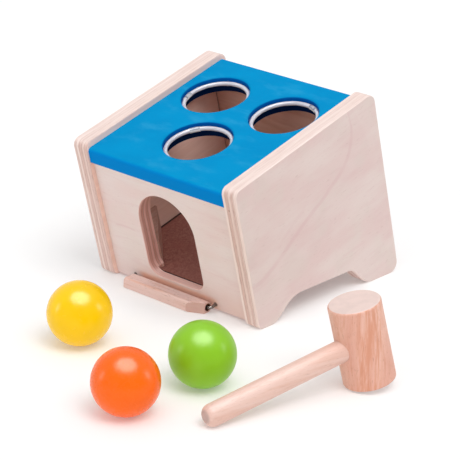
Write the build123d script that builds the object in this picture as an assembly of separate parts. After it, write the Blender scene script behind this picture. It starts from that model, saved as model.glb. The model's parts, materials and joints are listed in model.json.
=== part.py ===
from build123d import *
import math
import os

# A child's pounding bench, in millimetres. A plywood box is tipped forward on its shaped sides.
# Three balls sit in grip rings in the top board. A ball that is struck drops to the ramp inside
# and rolls out at the door, where a hinged bar stops it. The balls and the mallet lie loose.
# X runs across the bench, Y from front to back and Z up. "Tipped" sizes follow the box instead:
# depth along the top board from the front edge of the sides, height square to it.

# The balls. The holes are sized and spaced for them, and the box is built round the holes.
ball_radius = 23.1
hole_web = 15.8
hole_row_spacing = 56.6
hole_side_margin = 6.9
hole_front_margin = 21.4
hole_back_margin = 19.0
hole_lip_round = 2.0

# The rings of tube that grip the balls, in grooves in the holes
ring_grip = 0.2
ring_tube_radius = 1.6
ring_seat = 0.3
ring_drop = 5.0
sleeve_wall = 0.3
sleeve_length = 8.0
sleeve_fit = 0.05
groove_clearance = 0.1
front_sleeve_angle = 139.0
back_left_sleeve_angle = -165.0
back_right_sleeve_angle = 68.0

# The sides
tip_angle = 14.8
side_thickness = 13.6
side_height = 115.2
side_front_radius = 5.5
side_back_radius = 7.5
side_edge_round = 0.8

# The feet and the arch between them
front_foot_length = 17.7
back_foot_length = 37.8
arch_height = 16.3
arch_slope_angle = 41.5
arch_front_radius = 25.0
arch_back_radius = 13.0
front_foot_heel_radius = 12.0
back_foot_toe_radius = 18.0

# The painted top board
board_thickness = 12.0
board_drop = 4.8
board_front_setback = 1.2
board_back_setback = 3.9
board_nose_round = 3.0
board_edge_round = 1.0

# The front and back panels
panel_thickness = 12.0
panel_foot_gap = 0.9
front_setback = 4.0
door_offset = -1.8
door_width = 54.8
door_sill = 12.0
door_head_gap = 12.6
door_corner_radius = 10.0
door_edge_round = 0.6

# The ramp, its seat in the sill and the strips under it
ramp_thickness = 3.0
ramp_gap = 0.3
tongue_shoulder = 3.3
rebate_depth = 6.3
rebate_height = 6.0
batten_width = 8.0
batten_height = 6.0
batten_length = 80.0

# The wedges that lead the balls to the door
guide_height = 20.0
guide_depth = 37.0
guide_blunt = 2.0

# The glued dowels
dowel_radius = 3.0
dowel_length = 24.0
dowel_in_side = 9.0
dowel_fit = 0.05
dowel_end_gap = 0.5
top_dowel_shares = (0.12, 0.45, 0.92)
front_dowel_shares = (0.30, 0.80)
back_dowel_shares = (0.25, 0.75)

# The stop bar and the wire that it turns on
bar_height = 8.0
bar_depth = 14.0
bar_left_reach = 43.9
bar_right_reach = 32.0
bar_floor_gap = 0.3
bar_nose_round = 3.0
bar_under_round = 1.0
bar_chamfer_length = 12.6
bar_chamfer_depth = 6.3
bar_wall_gap = 1.84
wire_radius = 1.2
wire_fit = 0.08
wire_bend_radius = 2.4
wire_reach = 2.7
wire_leg_depth = 8.0
wire_leg_fit = 0.05
mouth_radius = 2.8
mouth_depth = 5.0
bar_stop_gap = 0.3

# The mallet
head_radius = 18.2
head_length = 58.8
head_edge_round = 1.5
handle_radius = 7.8
handle_reach = 127.0
handle_end_flat = 1.6
socket_past_axis = 9.0
socket_fit = 0.05
socket_end_gap = 0.5
mallet_roll = 5.4
mallet_azimuth = -104.4

# Where the loose pieces lie, from the middle of the bench's front edge line
yellow_ball_place = (4.7, -104.6)
orange_ball_place = (105.5, -160.3)
green_ball_place = (112.1, -94.5)
mallet_place = (187.2, -19.4)

cut_overrun = 1.0

# Sizes that follow from those above
tip_cos = math.cos(math.radians(tip_angle))
tip_sin = math.sin(math.radians(tip_angle))
ring_radius = ball_radius - ring_grip + ring_tube_radius
hole_radius = ring_radius + ring_tube_radius - ring_seat
sleeve_radius = ring_tube_radius + sleeve_fit + sleeve_wall
groove_radius = sleeve_radius + groove_clearance
back_hole_offset = hole_web / 2 + hole_radius
inner_half = back_hole_offset + hole_radius + hole_side_margin
half_width = inner_half + side_thickness
front_hole_depth = board_front_setback + hole_front_margin + hole_radius
back_hole_depth = front_hole_depth + hole_row_spacing
board_back = back_hole_depth + hole_radius + hole_back_margin
board_depth = board_back - board_front_setback
side_depth = board_back + board_back_setback
board_top = side_height - board_drop
board_under = board_top - board_thickness
ring_height = board_top - ring_drop
panel_height = board_under - panel_foot_gap
front_back_face = front_setback + panel_thickness
back_front_face = board_back - panel_thickness
door_spring = board_under - door_head_gap - door_width / 2
ramp_under = door_sill - ramp_thickness
tongue_half = door_width / 2 - tongue_shoulder
handle_end_round = handle_radius - handle_end_flat
ring_places = {
    "front": (0, front_hole_depth, front_sleeve_angle),
    "back_left": (-back_hole_offset, back_hole_depth, back_left_sleeve_angle),
    "back_right": (back_hole_offset, back_hole_depth, back_right_sleeve_angle),
}
top_dowel_places = [
    (board_front_setback + share * board_depth, board_top - board_thickness / 2)
    for share in top_dowel_shares
]
front_dowel_places = [
    (front_setback + panel_thickness / 2, panel_foot_gap + share * panel_height)
    for share in front_dowel_shares
]
back_dowel_places = [
    (board_back - panel_thickness / 2, panel_foot_gap + share * panel_height)
    for share in back_dowel_shares
]

# The stop bar's pivot: its depth and height in the box, and its place over the floor
pivot_half = bar_height / 2
pivot_z = bar_floor_gap + pivot_half
pivot_depth = front_setback - bar_wall_gap - pivot_half
pivot_y = (pivot_depth - pivot_z * tip_sin) / tip_cos
pivot_height = pivot_z * tip_cos - pivot_y * tip_sin

tipped = Location((0, 0, 0), (tip_angle, 0, 0))


def tipped_block(x_span, depth_span, height_span):
    """A block given by its limits across, along the depth and up the height of the tipped box."""
    low = Vector(x_span[0], depth_span[0], height_span[0])
    high = Vector(x_span[1], depth_span[1], height_span[1])
    size = high - low
    return Pos((low + high) / 2) * Box(size.X, size.Y, size.Z)


def profile_along_depth(sketch, depth_span):
    """A sketch drawn across and up the tipped box, carried along its depth."""
    flat = Pos(0, depth_span[0], 0) * Rot(90, 0, 0) * sketch
    return extrude(flat, amount=depth_span[1] - depth_span[0], dir=(0, 1, 0))


def rod_along_x(radius, x_span, depth, height):
    """A round rod across the box."""
    middle = (x_span[0] + x_span[1]) / 2
    return Pos(middle, depth, height) * Rot(0, 90, 0) * Cylinder(radius, x_span[1] - x_span[0])


# The dowels and their holes
def dowel_rods(places, radius, end_gap):
    """Rods at each place, left and right, that cross the seam between a board and a side."""
    near = inner_half + dowel_in_side - dowel_length - end_gap
    far = inner_half + dowel_in_side + end_gap
    rods = []
    for depth, height in places:
        rods.append(rod_along_x(radius, (-far, -near), depth, height))
        rods.append(rod_along_x(radius, (near, far), depth, height))
    return rods


def dowel_group(places):
    return tipped * Compound(dowel_rods(places, dowel_radius, 0))


def cut_dowel_holes(board, places):
    for hole in dowel_rods(places, dowel_radius + dowel_fit, dowel_end_gap):
        board -= hole
    return board


# The sides
def side_panel():
    """The left side. Its front and back edges are square to the top board, its feet are flat."""
    arch_run = arch_height / math.tan(math.radians(arch_slope_angle))
    floor_length = side_depth / tip_cos
    arch_back = floor_length - back_foot_length
    top_front = (-side_height * tip_sin, side_height * tip_cos)
    top_back = (side_depth * tip_cos - side_height * tip_sin, side_depth * tip_sin + side_height * tip_cos)
    corners = [
        ((0, 0), side_front_radius),
        ((front_foot_length, 0), front_foot_heel_radius),
        ((front_foot_length + arch_run, arch_height), arch_front_radius),
        ((arch_back - arch_run, arch_height), arch_back_radius),
        ((arch_back, 0), back_foot_toe_radius),
        ((floor_length, 0), side_back_radius),
        (top_back, side_back_radius),
        (top_front, side_front_radius),
    ]
    points = [point for point, radius in corners]
    radii = [radius for point, radius in corners]
    outline = Plane.YZ * make_face(FilletPolyline(*points, radius=radii, close=True))
    panel = Pos(-half_width, 0, 0) * extrude(outline, amount=side_thickness, dir=(1, 0, 0))
    rims = panel.faces().sort_by(Axis.X)
    panel = fillet(rims[0].edges() + rims[-1].edges(), side_edge_round)
    places = top_dowel_places + front_dowel_places + back_dowel_places
    for hole in dowel_rods(places, dowel_radius + dowel_fit, dowel_end_gap):
        panel -= tipped * hole
    return panel


# The top board
def top_board():
    """The painted board. Each hole has a soft lip and a groove that the ring sits in."""
    depths = (board_front_setback, board_back)
    board = tipped_block((-inner_half, inner_half), depths, (board_under, board_top))
    for across, depth, angle in ring_places.values():
        board -= Pos(across, depth, board_top) * Cylinder(hole_radius, 2 * (board_thickness + cut_overrun))
    lips = board.edges().filter_by(GeomType.CIRCLE).group_by(Axis.Z)[-1]
    board = fillet(lips, hole_lip_round)
    front_edges = board.edges().filter_by(Axis.X).group_by(Axis.Y)[0]
    board = fillet(front_edges.sort_by(Axis.Z)[-1], board_nose_round)
    long_edges = board.edges().filter_by(Axis.X)
    low_front = long_edges.group_by(Axis.Z)[0].sort_by(Axis.Y)[0]
    board = fillet([low_front] + long_edges.group_by(Axis.Y)[-1], board_edge_round)
    for across, depth, angle in ring_places.values():
        board -= Pos(across, depth, ring_height) * Torus(ring_radius, groove_radius)
    return tipped * cut_dowel_holes(board, top_dowel_places)


# The grip rings
def grip_ring(across, depth):
    """A loop of clear tube. Its bore is a little smaller than the ball."""
    return tipped * Pos(across, depth, ring_height) * Torus(ring_radius, ring_tube_radius)


def ring_sleeve(across, depth, angle):
    """The short sleeve over the two ends of a ring."""
    half_turn = math.degrees(sleeve_length / ring_radius) / 2
    section = Circle(sleeve_radius) - Circle(ring_tube_radius + sleeve_fit)
    standing = Rot(90, 0, 0) * Pos(ring_radius, 0) * section
    sleeve = revolve(standing, axis=Axis.Z, revolution_arc=2 * half_turn)
    return tipped * Pos(across, depth, ring_height) * Rot(0, 0, angle - half_turn) * sleeve


# The front and back panels
def door_sketch():
    """The doorway: flat sill with round corners, straight jambs, half-round head."""
    jambs = Pos(door_offset, (door_sill + door_spring) / 2) * Rectangle(door_width, door_spring - door_sill)
    low_corners = jambs.vertices().group_by(Axis.Y)[0]
    jambs = fillet(low_corners, door_corner_radius)
    return jambs + Pos(door_offset, door_spring) * Circle(door_width / 2)


def wire_path():
    """The wire's line: into the panel, across through the bar, and into the panel again."""
    left = -(bar_left_reach + wire_reach)
    right = bar_right_reach + wire_reach
    inside = front_setback + wire_leg_depth
    points = [
        (left, inside, pivot_height),
        (left, pivot_depth, pivot_height),
        (right, pivot_depth, pivot_height),
        (right, inside, pivot_height),
    ]
    return FilletPolyline(*points, radius=wire_bend_radius)


def front_panel():
    """The front, with its door, the rebate for the ramp's tongue and the holes for the wire."""
    depth_span = (front_setback, front_back_face)
    panel = tipped_block((-inner_half, inner_half), depth_span, (panel_foot_gap, board_under))
    panel -= profile_along_depth(door_sketch(), (depth_span[0] - cut_overrun, depth_span[1] + cut_overrun))
    front_face = panel.faces().sort_by(Axis.Y)[0]
    panel = fillet(front_face.inner_wires()[0].edges(), door_edge_round)
    rebate_half = tongue_half + ramp_gap
    depths = (front_back_face - rebate_depth, front_back_face + cut_overrun)
    heights = (ramp_under, ramp_under + rebate_height)
    panel -= tipped_block((door_offset - rebate_half, door_offset + rebate_half), depths, heights)
    for across in (-(bar_left_reach + wire_reach), bar_right_reach + wire_reach):
        length = wire_leg_depth + dowel_end_gap + cut_overrun
        leg_hole = Rot(90, 0, 0) * Cylinder(wire_radius + wire_leg_fit, length)
        panel -= Pos(across, front_setback - cut_overrun + length / 2, pivot_height) * leg_hole
    return tipped * cut_dowel_holes(panel, front_dowel_places)


def back_panel():
    """The back, plain, under the top board's back edge."""
    depths = (back_front_face, board_back)
    panel = tipped_block((-inner_half, inner_half), depths, (panel_foot_gap, board_under))
    return tipped * cut_dowel_holes(panel, back_dowel_places)


# The ramp and what carries it
def ramp_board():
    """Hardboard, flush with the sill, its tongue in the sill's rebate."""
    wide = inner_half - ramp_gap
    heights = (ramp_under, door_sill)
    sheet = tipped_block((-wide, wide), (front_back_face + ramp_gap, back_front_face - ramp_gap), heights)
    tongue_front = front_back_face - rebate_depth + ramp_gap
    tongue_depths = (tongue_front, front_back_face + 2 * ramp_gap)
    tongue_span = (door_offset - tongue_half, door_offset + tongue_half)
    return tipped * (sheet + tipped_block(tongue_span, tongue_depths, heights))


def ball_guide(side):
    """A wedge on the ramp, from the side to the door jamb. Side is -1 for left and 1 for right."""
    jamb = door_offset + side * door_width / 2
    wall = side * inner_half
    back = front_back_face + guide_depth
    plan = [
        (jamb, front_back_face),
        (jamb, front_back_face + guide_blunt),
        (wall - side * guide_blunt, back),
        (wall, back),
        (wall, front_back_face),
    ]
    wedge = extrude(make_face(Polyline(*plan, close=True)), amount=guide_height, dir=(0, 0, 1))
    return tipped * Pos(0, 0, door_sill) * wedge


def ramp_batten():
    """The left strip under the ramp, glued to the side."""
    heights = (ramp_under - batten_height, ramp_under)
    depths = (back_front_face - batten_length, back_front_face)
    return tipped * tipped_block((-inner_half, -inner_half + batten_width), depths, heights)


# The stop bar and its wire
def hinge_wire():
    path = wire_path()
    section = Plane(origin=path @ 0, z_dir=path % 0) * Circle(wire_radius)
    return tipped * sweep(section, path=path)


def stop_bar():
    """The bar. Its back edge is round about the wire, so that it clears the floor as it turns."""
    front = pivot_y + pivot_half - bar_depth
    outline = FilletPolyline(
        (pivot_y, bar_floor_gap),
        (front, bar_floor_gap),
        (front, bar_floor_gap + bar_height),
        (pivot_y, bar_floor_gap + bar_height),
        radius=[bar_under_round, bar_nose_round],
    )
    back = ThreePointArc(outline @ 1, (pivot_y + pivot_half, pivot_z), outline @ 0)
    length = bar_left_reach + bar_right_reach
    bar = extrude(Plane.YZ * make_face(outline + back), amount=length, dir=(1, 0, 0))
    bar = Pos(-bar_left_reach, 0, 0) * bar
    corner = [
        (bar_right_reach - bar_chamfer_length, front),
        (bar_right_reach + cut_overrun, front + bar_chamfer_depth * (1 + cut_overrun / bar_chamfer_length)),
        (bar_right_reach + cut_overrun, front - cut_overrun),
        (bar_right_reach - bar_chamfer_length, front - cut_overrun),
    ]
    bar -= extrude(make_face(Polyline(*corner, close=True)), amount=2 * bar_height, dir=(0, 0, 1))
    ends = (-bar_left_reach - cut_overrun, bar_right_reach + cut_overrun)
    bar -= rod_along_x(wire_radius + wire_fit, ends, pivot_y, pivot_z)
    bar -= rod_along_x(mouth_radius, (ends[0], -bar_left_reach + mouth_depth), pivot_y, pivot_z)
    bar -= rod_along_x(mouth_radius, (bar_right_reach - mouth_depth, ends[1]), pivot_y, pivot_z)
    return bar


def bar_swing():
    """Degrees that the bar turns up from the floor before its rounded nose meets the front panel."""
    room = front_setback - pivot_depth - bar_stop_gap - bar_nose_round
    nose_out = bar_depth - pivot_half - bar_nose_round
    nose_up = pivot_half - bar_nose_round
    reach = math.hypot(nose_out, nose_up)
    past_parallel = math.degrees(math.asin(room / reach) - math.atan2(nose_up, nose_out))
    return 90 - tip_angle + past_parallel


# The balls and the mallet
def ball(place):
    return Pos(place[0], place[1], ball_radius) * Sphere(ball_radius)


def mallet_pose():
    """The mallet lies on its head's rim and its handle's end. Its own X is the handle, Z the head."""
    rim = Vector(head_radius - head_edge_round, 0, head_edge_round - head_length / 2)
    tip = Vector(handle_reach - handle_end_round, 0, handle_end_round - handle_radius)
    span = tip - rim
    slope = math.atan2(span.Z, span.X) - math.asin((handle_end_round - head_edge_round) / span.length)
    place = Location((mallet_place[0], mallet_place[1], 0), (0, 0, mallet_azimuth))
    return place * Rot(0, math.degrees(slope), 0) * Rot(mallet_roll, 0, 0)


def mallet_handle():
    length = handle_reach + socket_past_axis
    handle = Pos(handle_reach - length / 2, 0, 0) * Rot(0, 90, 0) * Cylinder(handle_radius, length)
    free_end = handle.edges().filter_by(GeomType.CIRCLE).sort_by(Axis.X)[-1]
    return fillet(free_end, handle_end_round)


def mallet_head():
    head = Cylinder(head_radius, head_length)
    head = fillet(head.edges().filter_by(GeomType.CIRCLE), head_edge_round)
    socket_end = -socket_past_axis - socket_end_gap
    return head - rod_along_x(handle_radius + socket_fit, (socket_end, head_radius + cut_overrun), 0, 0)


pieces = {
    "side_panel_left": side_panel(),
    "top_board": top_board(),
    "front_panel": front_panel(),
    "back_panel": back_panel(),
    "ramp_board": ramp_board(),
    "ball_guide_left": ball_guide(-1),
    "ball_guide_right": ball_guide(1),
    "ramp_batten_left": ramp_batten(),
    "top_dowels": dowel_group(top_dowel_places),
    "front_dowels": dowel_group(front_dowel_places),
    "back_dowels": dowel_group(back_dowel_places),
    "hinge_wire": hinge_wire(),
    "stop_bar": stop_bar(),
    "ball_yellow": ball(yellow_ball_place),
    "ball_orange": ball(orange_ball_place),
    "ball_green": ball(green_ball_place),
}
for name in ("side_panel", "ramp_batten"):
    pieces[name + "_right"] = mirror(pieces[name + "_left"], about=Plane.YZ)
for name, (across, depth, angle) in ring_places.items():
    pieces["grip_ring_" + name] = grip_ring(across, depth)
pieces["ring_sleeves"] = Compound([ring_sleeve(*place) for place in ring_places.values()])

mallet = {"mallet_head": mallet_pose() * mallet_head(), "mallet_handle": mallet_pose() * mallet_handle()}
mallet_low = min(piece.bounding_box().min.Z for piece in mallet.values())
for name, piece in mallet.items():
    pieces[name] = Pos(0, 0, -mallet_low) * piece

# The origin is on the floor, under the middle of the whole set
boxes = [piece.bounding_box() for piece in pieces.values()]
middle_x = (min(box.min.X for box in boxes) + max(box.max.X for box in boxes)) / 2
middle_y = (min(box.min.Y for box in boxes) + max(box.max.Y for box in boxes)) / 2
to_origin = Pos(-middle_x, -middle_y, 0)

os.makedirs("parts", exist_ok=True)
for name, piece in pieces.items():
    export_step(to_origin * piece, "parts/" + name + ".step")

print("bench middle at", round(-middle_x, 4), round(-middle_y, 4))
print("bar pivot at y", round(pivot_y - middle_y, 4), "z", round(pivot_z, 4), "swing", round(bar_swing(), 2))
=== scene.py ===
import json
import math
import bpy
from mathutils import Euler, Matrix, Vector


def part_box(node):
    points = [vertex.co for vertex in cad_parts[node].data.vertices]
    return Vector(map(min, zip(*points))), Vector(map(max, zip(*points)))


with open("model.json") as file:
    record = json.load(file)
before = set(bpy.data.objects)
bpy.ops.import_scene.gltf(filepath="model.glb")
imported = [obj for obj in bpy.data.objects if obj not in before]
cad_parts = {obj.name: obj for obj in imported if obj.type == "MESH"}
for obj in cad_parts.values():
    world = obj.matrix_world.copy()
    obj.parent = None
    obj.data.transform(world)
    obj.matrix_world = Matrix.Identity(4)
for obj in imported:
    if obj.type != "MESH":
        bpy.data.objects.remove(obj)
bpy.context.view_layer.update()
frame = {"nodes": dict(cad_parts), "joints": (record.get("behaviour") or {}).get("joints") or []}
nodes = frame["nodes"]
millimetre = 0.001
upright = (0, 0, 0)

# The bench's own frame. It is tipped forward with the box, about the line on the floor where the front
# edges of the sides stand. Its x runs across from the middle of the box, its depth runs back along the
# top board and its height is square to the board. Places in it are in millimetres.
tipped_turn = (math.radians(14.8), 0, 0)
hinge = next(joint for joint in frame["joints"] if joint["name"] == "stop_bar_hinge")
pivot = Vector(hinge["pos_m"])
pivot_to_front_edge = 0.003039
left_low, left_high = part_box("side_panel_left")
right_low, right_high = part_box("side_panel_right")
bench_middle = (left_low.x + right_high.x) / 2
bench_origin = Vector((bench_middle, pivot.y + pivot_to_front_edge, 0))
side_inner = (right_low.x - bench_middle) / millimetre
side_outer = (right_high.x - bench_middle) / millimetre
front_face, front_back = 4.0, 16.0
back_front, back_face = 137.8, 149.8
board_under = 98.4
tongue_front = 10.0

# Directions
crosswise = (1, 0, 0)
lengthwise = (0, 1, 0)
forwards = (0, -1, 0)
upwards = (0, 0, 1)


class Graph:
    """The nodes of a material or world. An input is a number, a colour, a vector or a node's socket."""

    def __init__(self, name, world=None):
        self.owner = world or bpy.data.materials.new(name)
        self.owner.use_nodes = True
        self.tree = self.owner.node_tree
        self.tree.nodes.clear()
        output_kind = "ShaderNodeOutputWorld" if world else "ShaderNodeOutputMaterial"
        self.output = self.tree.nodes.new(output_kind)

    def node(self, kind, settings=None, **inputs):
        """A new node with its attributes set and its inputs fed. An underscore stands for a space."""
        made = self.tree.nodes.new(kind)
        for key, value in (settings or {}).items():
            setattr(made, key, value)
        for key, value in inputs.items():
            self.feed(made.inputs[key.replace("_", " ")], value)
        return made

    def feed(self, socket, value):
        if isinstance(value, bpy.types.NodeSocket):
            self.tree.links.new(value, socket)
        elif isinstance(value, (tuple, list)) and len(value) == 3 and socket.type == "RGBA":
            socket.default_value = (*value, 1)
        else:
            socket.default_value = value

    def math(self, operation, first, second=0.0, third=0.0):
        made = self.tree.nodes.new("ShaderNodeMath")
        made.operation = operation
        for socket, value in zip(made.inputs, (first, second, third)):
            self.feed(socket, value)
        return made.outputs[0]

    def product(self, first, *others):
        for other in others:
            first = self.math("MULTIPLY", first, other)
        return first

    def root_of_squares(self, first, second):
        squares = [self.math("POWER", value, 2.0) for value in (first, second)]
        return self.math("SQRT", self.math("ADD", *squares))

    def mix(self, factor, first, second):
        """A colour between two."""
        made = self.tree.nodes.new("ShaderNodeMix")
        made.data_type = "RGBA"
        self.feed(made.inputs[0], factor)
        self.feed(made.inputs[6], first)
        self.feed(made.inputs[7], second)
        return made.outputs[2]

    def blend(self, factor, first, second):
        """A number between two."""
        made = self.tree.nodes.new("ShaderNodeMix")
        self.feed(made.inputs[0], factor)
        self.feed(made.inputs[2], first)
        self.feed(made.inputs[3], second)
        return made.outputs[0]

    def ramp(self, value, low, high, to_low=0.0, to_high=1.0):
        """A smooth step, down as well as up: low may be above high."""
        if low > high:
            low, high, to_low, to_high = high, low, to_high, to_low
        made = self.node("ShaderNodeMapRange", {"interpolation_type": "SMOOTHSTEP"}, Value=value)
        for socket, number in zip(made.inputs[1:5], (low, high, to_low, to_high)):
            self.feed(socket, number)
        return made.outputs[0]

    def between(self, value, low, high, soft):
        """1 between two values, with soft ends outside them."""
        return self.product(self.ramp(value, low - soft, low), self.ramp(value, high + soft, high))

    def tint(self, colour, toward, amount, start=0.3, full=0.7, strength=1.0):
        """Goes over to a second colour as amount rises from start to full."""
        return self.mix(self.ramp(amount, start, full, 0.0, strength), colour, toward)

    def levels(self, value, pairs):
        """Grey levels through (place, level) pairs, straight from one to the next."""
        made = self.node("ShaderNodeValToRGB", Fac=value)
        elements = made.color_ramp.elements
        elements[0].position, elements[1].position = pairs[0][0], pairs[-1][0]
        for at, level in pairs[1:-1]:
            elements.new(at)
        for element, (at, level) in zip(elements, pairs):
            element.color = (level, level, level, 1)
        return made.outputs[0]

    def curve(self, value, points, reach):
        """A smooth curve through points, which lie between 0 and reach both ways."""
        made = self.node("ShaderNodeFloatCurve", Value=self.math("DIVIDE", value, reach))
        line = made.mapping.curves[0]
        while len(line.points) < len(points):
            line.points.new(0.5, 0.5)
        for point, (across, up) in zip(line.points, points):
            point.location = (across / reach, up / reach)
        made.mapping.update()
        return self.product(made.outputs[0], reach)

    def noise(self, vector, cell, detail=2.0, roughness=0.5, distortion=0.0):
        """Noise whose cells are about cell millimetres: one number, or one for each axis."""
        sizes = cell if isinstance(cell, tuple) else (cell,) * 3
        fitted = self.node("ShaderNodeMapping", Vector=vector, Scale=tuple(1 / size for size in sizes))
        made = self.node("ShaderNodeTexNoise", Vector=fitted.outputs[0], Scale=1.0, Detail=detail)
        self.feed(made.inputs["Roughness"], roughness)
        self.feed(made.inputs["Distortion"], distortion)
        return made.outputs[0]

    def place(self, origin=(0, 0, 0), rotation=upright):
        """Object coordinates in millimetres, from an origin and turned with a piece."""
        whole = self.node("ShaderNodeTexCoord").outputs["Object"]
        made = self.node("ShaderNodeMapping", {"vector_type": "TEXTURE"}, Vector=whole)
        made.inputs["Location"].default_value = origin
        made.inputs["Rotation"].default_value = rotation
        made.inputs["Scale"].default_value = (millimetre,) * 3
        return made.outputs[0]

    def shifted(self, place, seed, steps):
        """The place moved by a seed's steps, so that no two pieces show the same stretch of a pattern."""
        shift = tuple(seed * step for step in steps)
        return self.node("ShaderNodeMapping", Vector=place, Location=shift).outputs[0]

    def split(self, vector):
        return self.node("ShaderNodeSeparateXYZ", Vector=vector).outputs

    def facing(self, direction, rotation=upright):
        """How far the surface faces a direction of a turned frame, from -1 to 1."""
        coordinates = self.node("ShaderNodeTexCoord")
        turned = Vector(direction)
        turned.rotate(Euler(rotation))
        dot = self.node("ShaderNodeVectorMath", {"operation": "DOT_PRODUCT"})
        self.feed(dot.inputs[0], coordinates.outputs["Normal"])
        self.feed(dot.inputs[1], turned)
        return dot.outputs["Value"]

    def square_to(self, direction, rotation=upright):
        """As facing, but the same from both sides."""
        return self.math("ABSOLUTE", self.facing(direction, rotation))

    def bump(self, height, distance, strength):
        """Relief whose full depth is distance, in metres."""
        return self.node("ShaderNodeBump", Height=height, Distance=distance, Strength=strength).outputs[0]

    def surface(self, colour, roughness, normal=None, **constants):
        shader = self.node("ShaderNodeBsdfPrincipled", Base_Color=colour, Roughness=roughness)
        if normal is not None:
            self.feed(shader.inputs["Normal"], normal)
        for key, value in constants.items():
            shader.inputs[key.replace("_", " ")].default_value = value
        return self.show(shader)

    def show(self, shader):
        """Makes a shader the result, and returns the material or world."""
        self.tree.links.new(shader.outputs[0], self.output.inputs[0])
        return self.owner


def cells(grain, across, along):
    """Noise cells drawn out along the grain axis."""
    return tuple(along if axis == grain else across for axis in "xyz")


def darker(colour, share):
    """A colour times one share, or one for each channel."""
    shares = share if isinstance(share, tuple) else (share,) * 3
    return tuple(part * level for part, level in zip(shares, colour))


# Plywood colours: faces as pale, pink and grey, the rest as pale and dark
side_face = [(0.720, 0.598, 0.560), (0.700, 0.540, 0.512), (0.680, 0.580, 0.530)]
# Painted light: the front's faces are paler than the sides', making up for the forward-leaning front
# getting less light.
front_faces_painted_paler = [(0.765, 0.655, 0.625), (0.755, 0.605, 0.575), (0.735, 0.640, 0.590)]
bare_inside = [(0.78, 0.50, 0.41), (0.66, 0.38, 0.29)]
# Painted light: the left side's inside, seen through the holes and the door, is paler than the other
# insides, standing in for light that falls in through the holes.
left_inside_painted_lighter = [(0.94, 0.67, 0.58), (0.87, 0.59, 0.50)]
side_layers = [(0.87, 0.725, 0.675), (0.62, 0.395, 0.340)]
front_layers = [(0.95, 0.64, 0.58), (0.61, 0.285, 0.235)]
ring_pink = (0.640, 0.430, 0.430)
glue_brown = (0.40, 0.22, 0.18)
fleck_and_hole_shade_brown = (0.30, 0.15, 0.11)
knot_and_hole_shade_dark = (0.06, 0.03, 0.02)
sill_painted_bounce = (0.80, 0.42, 0.27)
foot_pink = (0.74, 0.50, 0.44)
joint_shadow = (0.42, 0.26, 0.21)
ply_steps = (100.0, 37.0, 61.0)
cloud_steps = (1.0, 0.0, 1.0)

# How near its plane a face counts as on it, the number of layers and how far they wave, as a share of
# the thickness, and the joint between the sides and the back panel
face_tolerance = 0.06
layer_count = 5.0
layer_wave = 0.05
joint_width = 0.8
joint_fade = 2.0

# The long growth ring on a side, as (along, above) points of a line that leans back, and its reach
ring_lean = math.radians(30)
ring_points = [(0, 40), (18, 31), (36, 23.4), (55, 20.3), (76, 18.0), (99, 14), (122, 10.2), (141, 12.2),
               (154, 19.5), (162, 33), (168, 60)]
ring_reach = 180.0
ring_wander = 5.0

# The faint eyebrow left of the door: a low arch about its middle
brow_middle = -46.0
brow_bend = 0.012


def veneer(g, place, grain, seed, tones):
    """The face veneer's colour, with patches, streaks, fibres and flecks. Returns the fibres as well."""
    pale, pink, grey = tones
    patch = g.noise(place, cells(grain, across=22.0, along=60.0))
    cloud = g.noise(g.shifted(place, seed, cloud_steps), 30.0)
    fibre = g.noise(place, cells(grain, across=0.8, along=22.0), detail=3.0, roughness=0.65)
    streak = g.noise(place, cells(grain, across=5.0, along=30.0), detail=3.0, distortion=0.8)
    fleck = g.noise(place, cells(grain, across=0.9, along=5.0), detail=1.0)
    colour = g.tint(pale, pink, patch, start=0.38, full=0.66)
    colour = g.tint(colour, grey, cloud, start=0.48, full=0.72, strength=0.6)
    colour = g.tint(colour, ring_pink, streak, start=0.50, full=0.72, strength=0.16)
    colour = g.tint(colour, ring_pink, fibre, start=0.42, full=0.75, strength=0.10)
    colour = g.tint(colour, fleck_and_hole_shade_brown, fleck, start=0.66, full=0.76, strength=0.14)
    return colour, fibre


def side_figure(g, place, colour):
    """The long growth ring across a side: it climbs from the front and turns up at the back."""
    x, depth, height = g.split(place)
    lean_cos, lean_sin = math.cos(ring_lean), math.sin(ring_lean)
    along = g.math("ADD", g.product(depth, lean_cos), g.product(height, lean_sin))
    above = g.math("SUBTRACT", g.product(height, lean_cos), g.product(depth, lean_sin))
    wander = g.math("SUBTRACT", g.noise(place, 26.0), 0.5)
    offset = g.math("SUBTRACT", above, g.curve(along, ring_points, ring_reach))
    offset = g.math("ADD", offset, g.product(wander, ring_wander))
    uneven = g.ramp(g.noise(place, 20.0), 0.25, 0.6, to_low=0.45)
    line = g.product(g.between(offset, -0.9, 0.9, soft=1.9), uneven, 0.42)
    shade = g.product(g.between(offset, -26.0, -1.0, soft=10.0), 0.10)
    second = g.product(g.between(offset, 9.0, 10.0, soft=2.0), g.between(along, 62.0, 84.0, soft=8.0), 0.20)
    for amount in (line, shade, second):
        colour = g.mix(amount, colour, ring_pink)
    return colour


def front_figure(g, place, colour):
    """The eyebrow left of the door, a band of painted shade and warm bounced light between sill and stop
    bar, and pinker, darker colour low down, more so to the right.
    """
    x, depth, height = g.split(place)
    bow = g.product(g.math("POWER", g.math("SUBTRACT", x, brow_middle), 2.0), brow_bend)
    arc = g.math("ADD", height, bow)
    brow = g.product(g.between(arc, 47.4, 48.0, soft=1.0), g.between(x, -55.0, -38.0, soft=3.0), 0.3)
    # Painted shade and warm bounced light between sill and stop bar
    glow = g.product(g.between(height, -2.0, 7.5, soft=4.0), g.between(x, -36.0, 33.0, soft=8.0), 0.75)
    foot = g.product(g.ramp(height, 34.0, 2.0), g.ramp(x, -10.0, 60.0, to_low=0.1, to_high=0.6))
    colour = g.mix(brow, colour, ring_pink)
    colour = g.mix(glow, colour, sill_painted_bounce)
    return g.mix(foot, colour, foot_pink)


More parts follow.
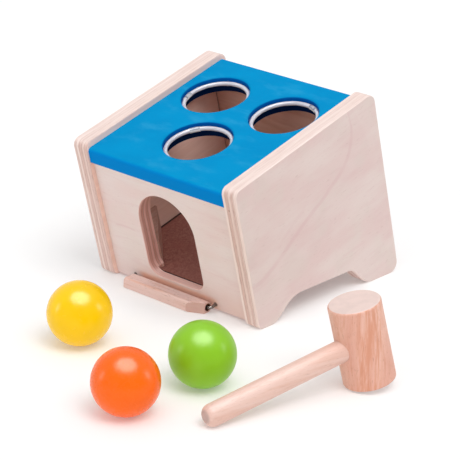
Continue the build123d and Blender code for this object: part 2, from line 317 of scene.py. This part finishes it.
def corner_line(g, depth, height, colour):
    """The shaded joint inside the box where the back panel meets a side, below the top board."""
    joint = g.between(depth, back_front - joint_width, back_front, soft=joint_width)
    below = g.ramp(height, board_under, board_under - joint_fade)
    return g.mix(g.product(joint, below), colour, joint_shadow)


def cut_edge(g, place, axis, share, stack, layers):
    """The layers on a cut edge, with pores in the dark ones and glue lines. Returns the fibres as well."""
    pale, dark = layers
    cell = cells(axis, across=26.0, along=1.1)
    fibre = g.noise(place, cell, detail=3.0, roughness=0.6)
    pore = g.noise(place, tuple(size / 4 for size in cell))
    # Painted light: edges that face up are paler, with their dark layers and glue lines faded, as if lit
    # from above.
    top_edge_painted_light = g.ramp(g.facing(upwards, tipped_turn), 0.5, 0.95, to_low=1.0, to_high=0.25)
    tone = g.product(g.levels(share, stack), top_edge_painted_light)
    edge = g.mix(tone, pale, dark)
    edge = g.tint(edge, dark, fibre, start=0.35, full=0.75, strength=0.35)
    edge = g.mix(g.product(g.ramp(pore, 0.54, 0.68, to_high=0.75), tone), edge, glue_brown)
    cycle = g.math("FRACT", g.math("MULTIPLY_ADD", share, layer_count, 0.5))
    to_glue = g.math("ABSOLUTE", g.math("SUBTRACT", cycle, 0.5))
    glue = g.product(g.ramp(to_glue, 0.10, 0.03), g.between(share, 0.1, 0.9, soft=0.02))
    glue = g.product(glue, g.ramp(fibre, 0.3, 0.6, to_low=0.2, to_high=0.85), top_edge_painted_light)
    return g.mix(glue, edge, glue_brown), fibre


def spot(g, x, height, middle, half):
    """1 inside a small ellipse on a face, with a soft rim."""
    from_middle = [g.math("SUBTRACT", value, at) for value, at in zip((x, height), middle)]
    across, up = [g.math("DIVIDE", value, size) for value, size in zip(from_middle, half)]
    return g.ramp(g.root_of_squares(across, up), 1.3, 0.5)


def plywood(name, axis, span, inner_at, grain, seed, tones, inside, layers, stack, figure=None, spots=()):
    """One plywood panel. Axis goes through it, span holds its two faces and inner_at the one inside."""
    g = Graph(name)
    place = g.place(bench_origin, tipped_turn)
    moved = g.shifted(place, seed, ply_steps)
    x, depth, height = g.split(place)
    through, direction = (x, crosswise) if axis == "x" else (depth, lengthwise)
    colour, face_fibre = veneer(g, moved, grain, seed, tones)
    if figure:
        colour = figure(g, place, colour)
    band = g.noise(moved, cells(grain, across=6.0, along=50.0), detail=3.0, roughness=0.6, distortion=0.5)
    # The inside face; on the left side its paler tones are painted light.
    bare = g.tint(*inside, band)
    if axis == "x":
        bare = corner_line(g, depth, height, bare)
    colour = g.mix(g.math("COMPARE", through, inner_at, face_tolerance), colour, bare)
    low, high = span
    share = g.math("DIVIDE", g.math("SUBTRACT", through, low), high - low)
    wave = g.product(g.math("SUBTRACT", g.noise(moved, 18.0), 0.5), layer_wave)
    edge, edge_fibre = cut_edge(g, moved, axis, g.math("ADD", share, wave), stack, layers)
    # Spots: a knot is the wood's own; round and in the wire's holes they are painted shade.
    for middle, half in spots:
        mark = spot(g, x, height, middle, half)
        edge = g.mix(g.product(mark, 0.8), edge, fleck_and_hole_shade_brown)
        colour = g.mix(g.product(mark, 0.92), colour, knot_and_hole_shade_dark)
    face = g.ramp(g.square_to(direction, tipped_turn), 0.72, 0.97)
    colour = g.mix(face, edge, colour)
    relief = g.blend(face, g.product(edge_fibre, 0.6), g.product(face_fibre, 0.3))
    roughness = g.ramp(face_fibre, 0.2, 0.8, to_low=0.46, to_high=0.58)
    normal = g.bump(relief, distance=0.0001, strength=0.5)
    return g.surface(colour, roughness, normal, Specular_IOR_Level=0.25)


# Paint. The holes lie in this part of the board. Their walls carry painted shade, dark blue and darker
# below the rim.
holes_front, holes_back = 9.0, 140.0
holes_half = 62.0
rim_height = 105.0
rim_fade = 1.0
paint_steps = (100.0, 0.0, 0.0)
blue_top = (0.0005, 0.285, 0.590)
blue_deep = (0.0005, 0.262, 0.560)
blue_painted_sheen = (0.018, 0.315, 0.600)
blue_cloud = (0.004, 0.300, 0.600)
blue_edge = (0.0005, 0.215, 0.590)
hole_shade_blue = (0.0005, 0.085, 0.360)
hole_shade_black = (0.0005, 0.012, 0.055)


def paint(name, colour, seed, roughness):
    """A ball's lacquered colour, a little uneven in tone and level."""
    g = Graph(name)
    place = g.shifted(g.place(), seed, paint_steps)
    blotch = g.noise(place, 26.0, detail=3.0)
    fine = g.noise(place, 4.0)
    tone = g.tint(colour, darker(colour, 0.93), blotch)
    rough = g.ramp(fine, 0.3, 0.7, to_low=roughness * 0.9, to_high=roughness * 1.1)
    normal = g.bump(fine, distance=0.00004, strength=0.3)
    return g.surface(tone, rough, normal, Specular_IOR_Level=0.25)


def board_paint():
    """Satin blue with pale patches of painted sheen, deeper on the edges, painted shade in the holes and
    bare wood underneath.
    """
    g = Graph("blue_paint")
    place = g.place(bench_origin, tipped_turn)
    x, depth, height = g.split(place)
    up = g.facing(upwards, tipped_turn)
    blotch = g.noise(place, 24.0, detail=3.0)
    painted_sheen = g.noise(place, cells("x", across=14.0, along=30.0), detail=3.0, roughness=0.6)
    cloud = g.noise(place, 5.0, detail=3.0, roughness=0.7)
    colour = g.tint(blue_top, blue_deep, blotch)
    # Painted sheen: pale patches stand in for the satin paint's soft reflection.
    colour = g.tint(colour, blue_painted_sheen, painted_sheen, start=0.50, full=0.72, strength=0.8)
    colour = g.tint(colour, blue_cloud, cloud, start=0.45, full=0.75, strength=0.3)
    colour = g.tint(colour, blue_edge, g.square_to(lengthwise, tipped_turn), start=0.4, full=0.95)
    wall = g.ramp(g.math("ABSOLUTE", up), 0.80, 0.25)
    within = g.between(depth, holes_front, holes_back, soft=1.0)
    within = g.product(within, g.between(x, -holes_half, holes_half, soft=0.5))
    # Painted shade: the holes' walls go dark blue, near black below the rim.
    navy = g.tint(hole_shade_blue, hole_shade_black, height, start=rim_height, full=rim_height - rim_fade)
    colour = g.mix(g.product(wall, within), colour, navy)
    wood = g.tint(*bare_inside, g.noise(place, cells("x", across=3.0, along=40.0), detail=3.0))
    colour = g.tint(colour, wood, up, start=-0.8, full=-0.95)
    roughness = g.ramp(cloud, 0.3, 0.7, to_low=0.50, to_high=0.58)
    normal = g.bump(cloud, distance=0.00003, strength=0.3)
    return g.surface(colour, roughness, normal, Specular_IOR_Level=0.01)


# Solid wood
wood_steps = (100.0, 31.0, 53.0)
streak_shares = (0.86, 0.68, 0.56)


def solid_wood(name, origin, rotation, grain, pale, dark, seed, contrast=1.0, extra=None, end_colour=None):
    """Beech or the like, with fibres, streaks and short pores along the grain axis."""
    g = Graph(name)
    place = g.place(origin, rotation)
    moved = g.shifted(place, seed, wood_steps)
    deep = darker(dark, streak_shares)
    broad = g.noise(moved, cells(grain, across=9.0, along=150.0))
    streak = g.noise(moved, cells(grain, across=2.6, along=60.0), detail=3.0, roughness=0.6)
    fibre = g.noise(moved, cells(grain, across=1.1, along=30.0), detail=4.0, roughness=0.6)
    pore = g.noise(moved, cells(grain, across=0.55, along=4.0))
    colour = g.tint(pale, dark, broad)
    colour = g.tint(colour, deep, streak, start=0.48, full=0.72, strength=0.45 * contrast)
    colour = g.tint(colour, deep, fibre, start=0.45, full=0.75, strength=0.30)
    colour = g.tint(colour, darker(deep, 0.5), pore, start=0.60, full=0.72, strength=0.40 * contrast)
    if extra:
        colour = extra(g, place, colour)
    if end_colour:
        along_grain = cells(grain, across=0, along=1)
        worn = darker(end_colour, 0.93)
        ends = g.tint(end_colour, worn, g.noise(moved, 7.0, detail=3.0), start=0.35)
        colour = g.tint(colour, ends, g.square_to(along_grain, rotation), start=0.75, full=0.95)
    roughness = g.ramp(fibre, 0.2, 0.8, to_low=0.42, to_high=0.54)
    normal = g.bump(fibre, distance=0.0001, strength=0.4)
    return g.surface(colour, roughness, normal, Specular_IOR_Level=0.3)


# The stop bar's mouth lies round the pivot and is painted dark inside as shade, and its front and slanted
# end are painted redder and darker as shade
mouth_radius = 2.8
mouth_soft = 0.3
bar_painted_shade = (0.55, 0.33, 0.28)
mouth_painted_shade = (0.28, 0.130, 0.085)


def bar_marks(g, place, colour):
    x, y, z = g.split(place)
    # Painted shade on the slanted end and the front, and in the mouth
    slant = g.ramp(g.facing(crosswise), 0.2, 0.4, to_high=0.75)
    front = g.ramp(g.facing(forwards), 0.5, 0.9, to_high=0.42)
    colour = g.mix(front, g.mix(slant, colour, bar_painted_shade), bar_painted_shade)
    from_pivot = g.root_of_squares(y, z)
    return g.tint(colour, mouth_painted_shade, from_pivot, start=mouth_radius + mouth_soft, full=mouth_radius)


# The mallet head is redder toward this direction on the floor
red_side = (0.743, 0.669)
head_red = (0.66, 0.28, 0.17)


def head_marks(g, place, colour):
    x, y, z = g.split(place)
    side = g.math("ADD", g.product(x, red_side[0]), g.product(y, red_side[1]))
    streak = g.noise(place, cells("z", across=2.6, along=34.0), detail=3.0, roughness=0.6)
    red = g.product(g.between(side, -1.0, 10.0, soft=5.0), g.ramp(streak, 0.40, 0.60), 0.8)
    return g.mix(red, colour, head_red)


# Hardboard. Painted shade: its rims are black this near to the walls and to the tongue's front edge, where
# the gaps beside them are in shadow.
board_brown, board_pale = (0.225, 0.076, 0.058), (0.38, 0.152, 0.120)
board_patch = (0.30, 0.100, 0.075)
board_fleck = (0.46, 0.24, 0.19)
rim_painted_shade = (0.035, 0.010, 0.008)
rim_inset = 1.8
rim_soft = 1.0
tongue_rim = 0.5
tongue_soft = 0.6


def hardboard():
    """Brown pressed board with pale fibres, with painted shade, nearly black, along its rim."""
    g = Graph("hardboard")
    place = g.place(bench_origin, tipped_turn)
    x, depth, height = g.split(place)
    fibre = g.noise(place, 2.4, detail=5.0, roughness=0.7, distortion=1.0)
    colour = g.tint(board_brown, board_pale, fibre, start=0.35, full=0.65)
    colour = g.tint(colour, board_patch, g.noise(place, 16.0), start=0.35, strength=0.5)
    colour = g.tint(colour, board_fleck, g.noise(place, 0.8), start=0.60, full=0.72, strength=0.6)
    front_rim = tongue_front + tongue_rim
    side_rim = side_inner - rim_inset
    back_rim = back_front - rim_inset
    rim = g.math("MAXIMUM", g.ramp(depth, front_rim + tongue_soft, front_rim),
                 g.ramp(g.math("ABSOLUTE", x), side_rim - rim_soft, side_rim))
    rim = g.math("MAXIMUM", rim, g.ramp(depth, back_rim - rim_soft, back_rim))
    normal = g.bump(fibre, distance=0.0002, strength=0.4)
    return g.surface(g.mix(rim, colour, rim_painted_shade), 0.5, normal, Specular_IOR_Level=0.25)


# Clear tube and steel
milky_pale, milky_grey = (0.84, 0.83, 0.89), (0.72, 0.71, 0.79)
sleeve_painted_glint, sleeve_painted_dark = (0.95, 0.95, 0.97), (0.16, 0.18, 0.27)
steel_dark, steel_pale = (0.10, 0.085, 0.08), (0.30, 0.27, 0.25)


def tube():
    """Soft clear tube, milky where it is thick."""
    g = Graph("ring_tube")
    colour = g.tint(milky_pale, milky_grey, g.noise(g.place(), 11.0))
    return g.surface(colour, 0.2, Transmission_Weight=0.2, IOR=1.45)


def sleeve():
    """The short sleeve over a ring's two ends: clearer, with painted reflections, white at its sides and
    dark on its crown.
    """
    g = Graph("ring_sleeve")
    crown = g.ramp(g.facing(upwards, tipped_turn), 0.15, 0.55)
    haze = g.ramp(g.noise(g.place(), 4.0), 0.35, 0.6, to_low=0.5, to_high=0.9)
    colour = g.mix(g.product(crown, haze), sleeve_painted_glint, sleeve_painted_dark)
    return g.surface(colour, 0.08, Transmission_Weight=0.15, IOR=1.5)


def steel():
    """Drawn wire, scuffed along its length."""
    g = Graph("steel_wire")
    scuff = g.noise(g.place(), cells("x", across=0.4, along=1.6))
    colour = g.mix(scuff, steel_dark, steel_pale)
    return g.surface(colour, g.ramp(scuff, 0.3, 0.7, to_low=0.22, to_high=0.4), Metallic=1.0)


def put(material, *names):
    """Gives CAD nodes a material."""
    for name in names:
        mesh = nodes[name].data
        mesh.materials.clear()
        mesh.materials.append(material)


# Layers as (share of the thickness, tone), from the lower to the higher coordinate
right_stack = [(0.0, 0.15), (0.10, 0.0), (0.19, 0.10), (0.24, 0.85), (0.38, 0.75), (0.45, 0.35),
               (0.56, 0.30), (0.62, 0.45), (0.67, 0.85), (0.74, 0.60), (0.79, 0.10), (1.0, 0.0)]
left_stack = [(0.0, 0.30), (0.12, 0.55), (0.19, 0.45), (0.25, 0.05), (0.38, 0.20), (0.43, 0.75),
              (0.60, 0.70), (0.66, 0.40), (0.80, 0.35), (0.86, 0.65), (1.0, 0.75)]
front_stack = [(0.0, 0.25), (0.16, 0.30), (0.21, 0.80), (0.38, 0.85), (0.43, 0.35), (0.58, 0.40),
               (0.63, 0.90), (0.78, 0.85), (0.83, 0.35), (1.0, 0.45)]

# Dark spots as (middle, half size) across and up: a knot on the right side's front edge, and painted shade
# round the wire's two holes
side_knot = ((71.2, 98.7), (0.5, 1.0))
wire_hole_shade_spots = [((-46.6, 4.94), (1.7, 1.7)), ((34.7, 4.94), (1.7, 1.7))]

# The box
put(plywood("ply_right", "x", span=(side_inner, side_outer), inner_at=side_inner, grain="y", seed=3.1,
            tones=side_face, inside=bare_inside, layers=side_layers, stack=right_stack,
            figure=side_figure, spots=[side_knot]), "side_panel_right")
put(plywood("ply_left", "x", span=(-side_outer, -side_inner), inner_at=-side_inner, grain="y", seed=7.7,
            tones=side_face, inside=left_inside_painted_lighter, layers=side_layers, stack=left_stack,
            figure=side_figure), "side_panel_left")
put(plywood("ply_front", "y", span=(front_face, front_back), inner_at=front_back, grain="x", seed=12.3,
            tones=front_faces_painted_paler, inside=bare_inside, layers=front_layers, stack=front_stack,
            figure=front_figure, spots=wire_hole_shade_spots), "front_panel")
put(plywood("ply_back", "y", span=(back_front, back_face), inner_at=back_front, grain="x", seed=21.9,
            tones=side_face, inside=bare_inside, layers=side_layers, stack=front_stack), "back_panel")
put(board_paint(), "top_board")
put(hardboard(), "ramp_board")
put(solid_wood("plain_wood", bench_origin, tipped_turn, grain="y", seed=4.0,
               pale=(0.56, 0.350, 0.290), dark=(0.48, 0.280, 0.225)),
    "ball_guide_left", "ball_guide_right", "ramp_batten_left", "ramp_batten_right")
put(solid_wood("dowel_wood", bench_origin, tipped_turn, grain="x", seed=5.0,
               pale=(0.78, 0.60, 0.48), dark=(0.70, 0.50, 0.38)),
    "top_dowels", "front_dowels", "back_dowels")

# The rings, the stop bar and its wire, and the balls
put(tube(), "grip_ring_front", "grip_ring_back_left", "grip_ring_back_right")
put(sleeve(), "ring_sleeves")
put(steel(), "hinge_wire")
put(solid_wood("bar_wood", pivot, upright, grain="x", seed=6.0, pale=(0.92, 0.70, 0.65),
               dark=(0.86, 0.60, 0.54), contrast=1.6, extra=bar_marks), "stop_bar")
put(paint("yellow_paint", (0.985, 0.600, 0.000), seed=2.0, roughness=0.25), "ball_yellow")
put(paint("orange_paint", (0.985, 0.138, 0.001), seed=3.0, roughness=0.27), "ball_orange")
put(paint("green_paint", (0.262, 0.575, 0.016), seed=4.0, roughness=0.32), "ball_green")

# The mallet: its head's grain runs up, its handle's along
handle_turn = (0, 0, math.radians(-104.4))
head_low, head_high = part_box("mallet_head")
head_middle = (head_low + head_high) / 2
put(solid_wood("mallet_wood", head_middle, upright, grain="z", seed=8.0, pale=(0.79, 0.47, 0.37),
               dark=(0.72, 0.38, 0.29), extra=head_marks, end_colour=(0.79, 0.62, 0.57)), "mallet_head")
put(solid_wood("handle_wood", head_middle, handle_turn, grain="x", seed=9.0, pale=(0.78, 0.55, 0.48),
               dark=(0.74, 0.48, 0.40), contrast=0.5, end_colour=(0.53, 0.37, 0.325)), "mallet_handle")

# The floor keeps the shadows and is white to the camera. To other rays it is pale paper that also glows, so
# it lights the object from below.
floor_reach = 6.0
seen_shade, seen_glow = 0.80, 0.18
paper_shade, paper_glow = 0.75, 0.28


def floor_material():
    g = Graph("floor")
    seen = g.node("ShaderNodeLightPath").outputs["Is Camera Ray"]
    shade = g.node("ShaderNodeBsdfDiffuse", Color=g.mix(seen, (paper_shade,) * 3, (seen_shade,) * 3))
    strength = g.blend(seen, paper_glow, seen_glow)
    glow = g.node("ShaderNodeEmission", Color=(1, 1, 1), Strength=strength)
    both = g.node("ShaderNodeAddShader")
    g.feed(both.inputs[0], shade.outputs[0])
    g.feed(both.inputs[1], glow.outputs[0])
    return g.show(both)


floor_mesh = bpy.data.meshes.new("floor")
corners = [(-floor_reach, -floor_reach, 0), (floor_reach, -floor_reach, 0),
           (floor_reach, floor_reach, 0), (-floor_reach, floor_reach, 0)]
floor_mesh.from_pydata(corners, [], [(0, 1, 2, 3)])
floor_mesh.materials.append(floor_material())
floor = bpy.data.objects.new("floor", floor_mesh)
bpy.context.scene.collection.objects.link(floor)

# The camera stands where the photograph's did. Azimuth 0 is in front of the object.
camera_azimuth = math.radians(41.998)
camera_elevation = math.radians(21.399)
camera_roll = math.radians(1.002)
camera_distance = 1.54772
camera_lens = 165.672
sensor_width = 36.0
view_limit = 30.0
aim = bench_origin + Vector((0.01825, 0.03486, 0.05))


def outward(azimuth, elevation):
    """The direction from the object toward an azimuth and elevation."""
    flat = math.cos(elevation)
    return Vector((math.sin(azimuth) * flat, -math.cos(azimuth) * flat, math.sin(elevation)))


def stand(made, toward, distance, roll=0.0):
    """Puts a camera or lamp at a distance from the aim, looking at it."""
    made.location = aim + toward * distance
    made.rotation_mode = "QUATERNION"
    made.rotation_quaternion = (-toward).to_track_quat("-Z", "Y") @ Euler((0, 0, roll)).to_quaternion()
    bpy.context.scene.collection.objects.link(made)


camera_data = bpy.data.cameras.new("camera")
camera_data.lens = camera_lens
camera_data.sensor_width = sensor_width
camera_data.clip_end = view_limit
camera = bpy.data.objects.new("camera", camera_data)
stand(camera, outward(camera_azimuth, camera_elevation), camera_distance, camera_roll)
bpy.context.scene.camera = camera

# White surroundings: even fill for the light, white where they are seen. Gloss shows the white
# backdrop on the far side of the object and a dimmer room on the side where the camera stands.
fill_strength = 0.60
room_strength = 0.15


def surroundings(world):
    g = Graph("studio", world)
    path = g.node("ShaderNodeLightPath")
    toward = g.node("ShaderNodeVectorMath", {"operation": "DOT_PRODUCT"})
    g.feed(toward.inputs[0], g.node("ShaderNodeTexCoord").outputs["Generated"])
    g.feed(toward.inputs[1], outward(camera_azimuth, 0))
    gloss = g.ramp(toward.outputs["Value"], -0.1, 0.45, to_low=1.0, to_high=room_strength)
    shown = g.blend(path.outputs["Is Glossy Ray"], 1.0, gloss)
    seen = g.math("MAXIMUM", path.outputs["Is Camera Ray"], path.outputs["Is Glossy Ray"])
    seen = g.math("MAXIMUM", seen, path.outputs["Is Transmission Ray"])
    strength = g.blend(seen, fill_strength, shown)
    return g.show(g.node("ShaderNodeBackground", Color=(1, 1, 1), Strength=strength))


bpy.context.scene.world = surroundings(bpy.data.worlds.new("studio"))

# Lamps. Suns give the light and never show as highlights; soft boxes only show as highlights.
sun_distance = 3.0


def lamp(kind, name, azimuth, elevation, distance):
    data = bpy.data.lights.new(name, kind)
    made = bpy.data.objects.new(name, data)
    made.visible_camera = False
    made.visible_diffuse = kind == "SUN"
    made.visible_glossy = kind == "AREA"
    stand(made, outward(math.radians(azimuth), math.radians(elevation)), distance)
    return data


def soft_sun(name, azimuth, elevation, level, spread):
    """Even light from a wide patch of sky. Level is the shade of a white card that faces it."""
    data = lamp("SUN", name, azimuth, elevation, sun_distance)
    data.energy = level * math.pi
    data.angle = math.radians(spread)


def soft_box(name, azimuth, elevation, distance, size, radiance):
    """An oval soft box. Its energy is its radiance times its area times pi."""
    data = lamp("AREA", name, azimuth, elevation, distance)
    data.shape = "ELLIPSE"
    data.size, data.size_y = size
    data.energy = radiance * math.pi * (math.pi / 4 * size[0] * size[1])


camera_side = math.degrees(camera_azimuth)
soft_sun("overhead", azimuth=camera_side, elevation=76, level=0.20, spread=50)
soft_sun("key", azimuth=80, elevation=58, level=0.31, spread=35)
soft_sun("front_fill", azimuth=-5, elevation=8, level=0.16, spread=50)
soft_box("overhead_shine", camera_side, elevation=76, distance=1.6, size=(1.75, 1.45), radiance=13.5)
soft_box("right_shine", camera_side + 84, elevation=20, distance=2.0, size=(0.4, 0.8), radiance=9.0)
soft_box("left_shine", camera_side - 84, elevation=14, distance=2.0, size=(0.35, 0.8), radiance=7.0)

bpy.context.scene.view_settings.view_transform = "Standard"
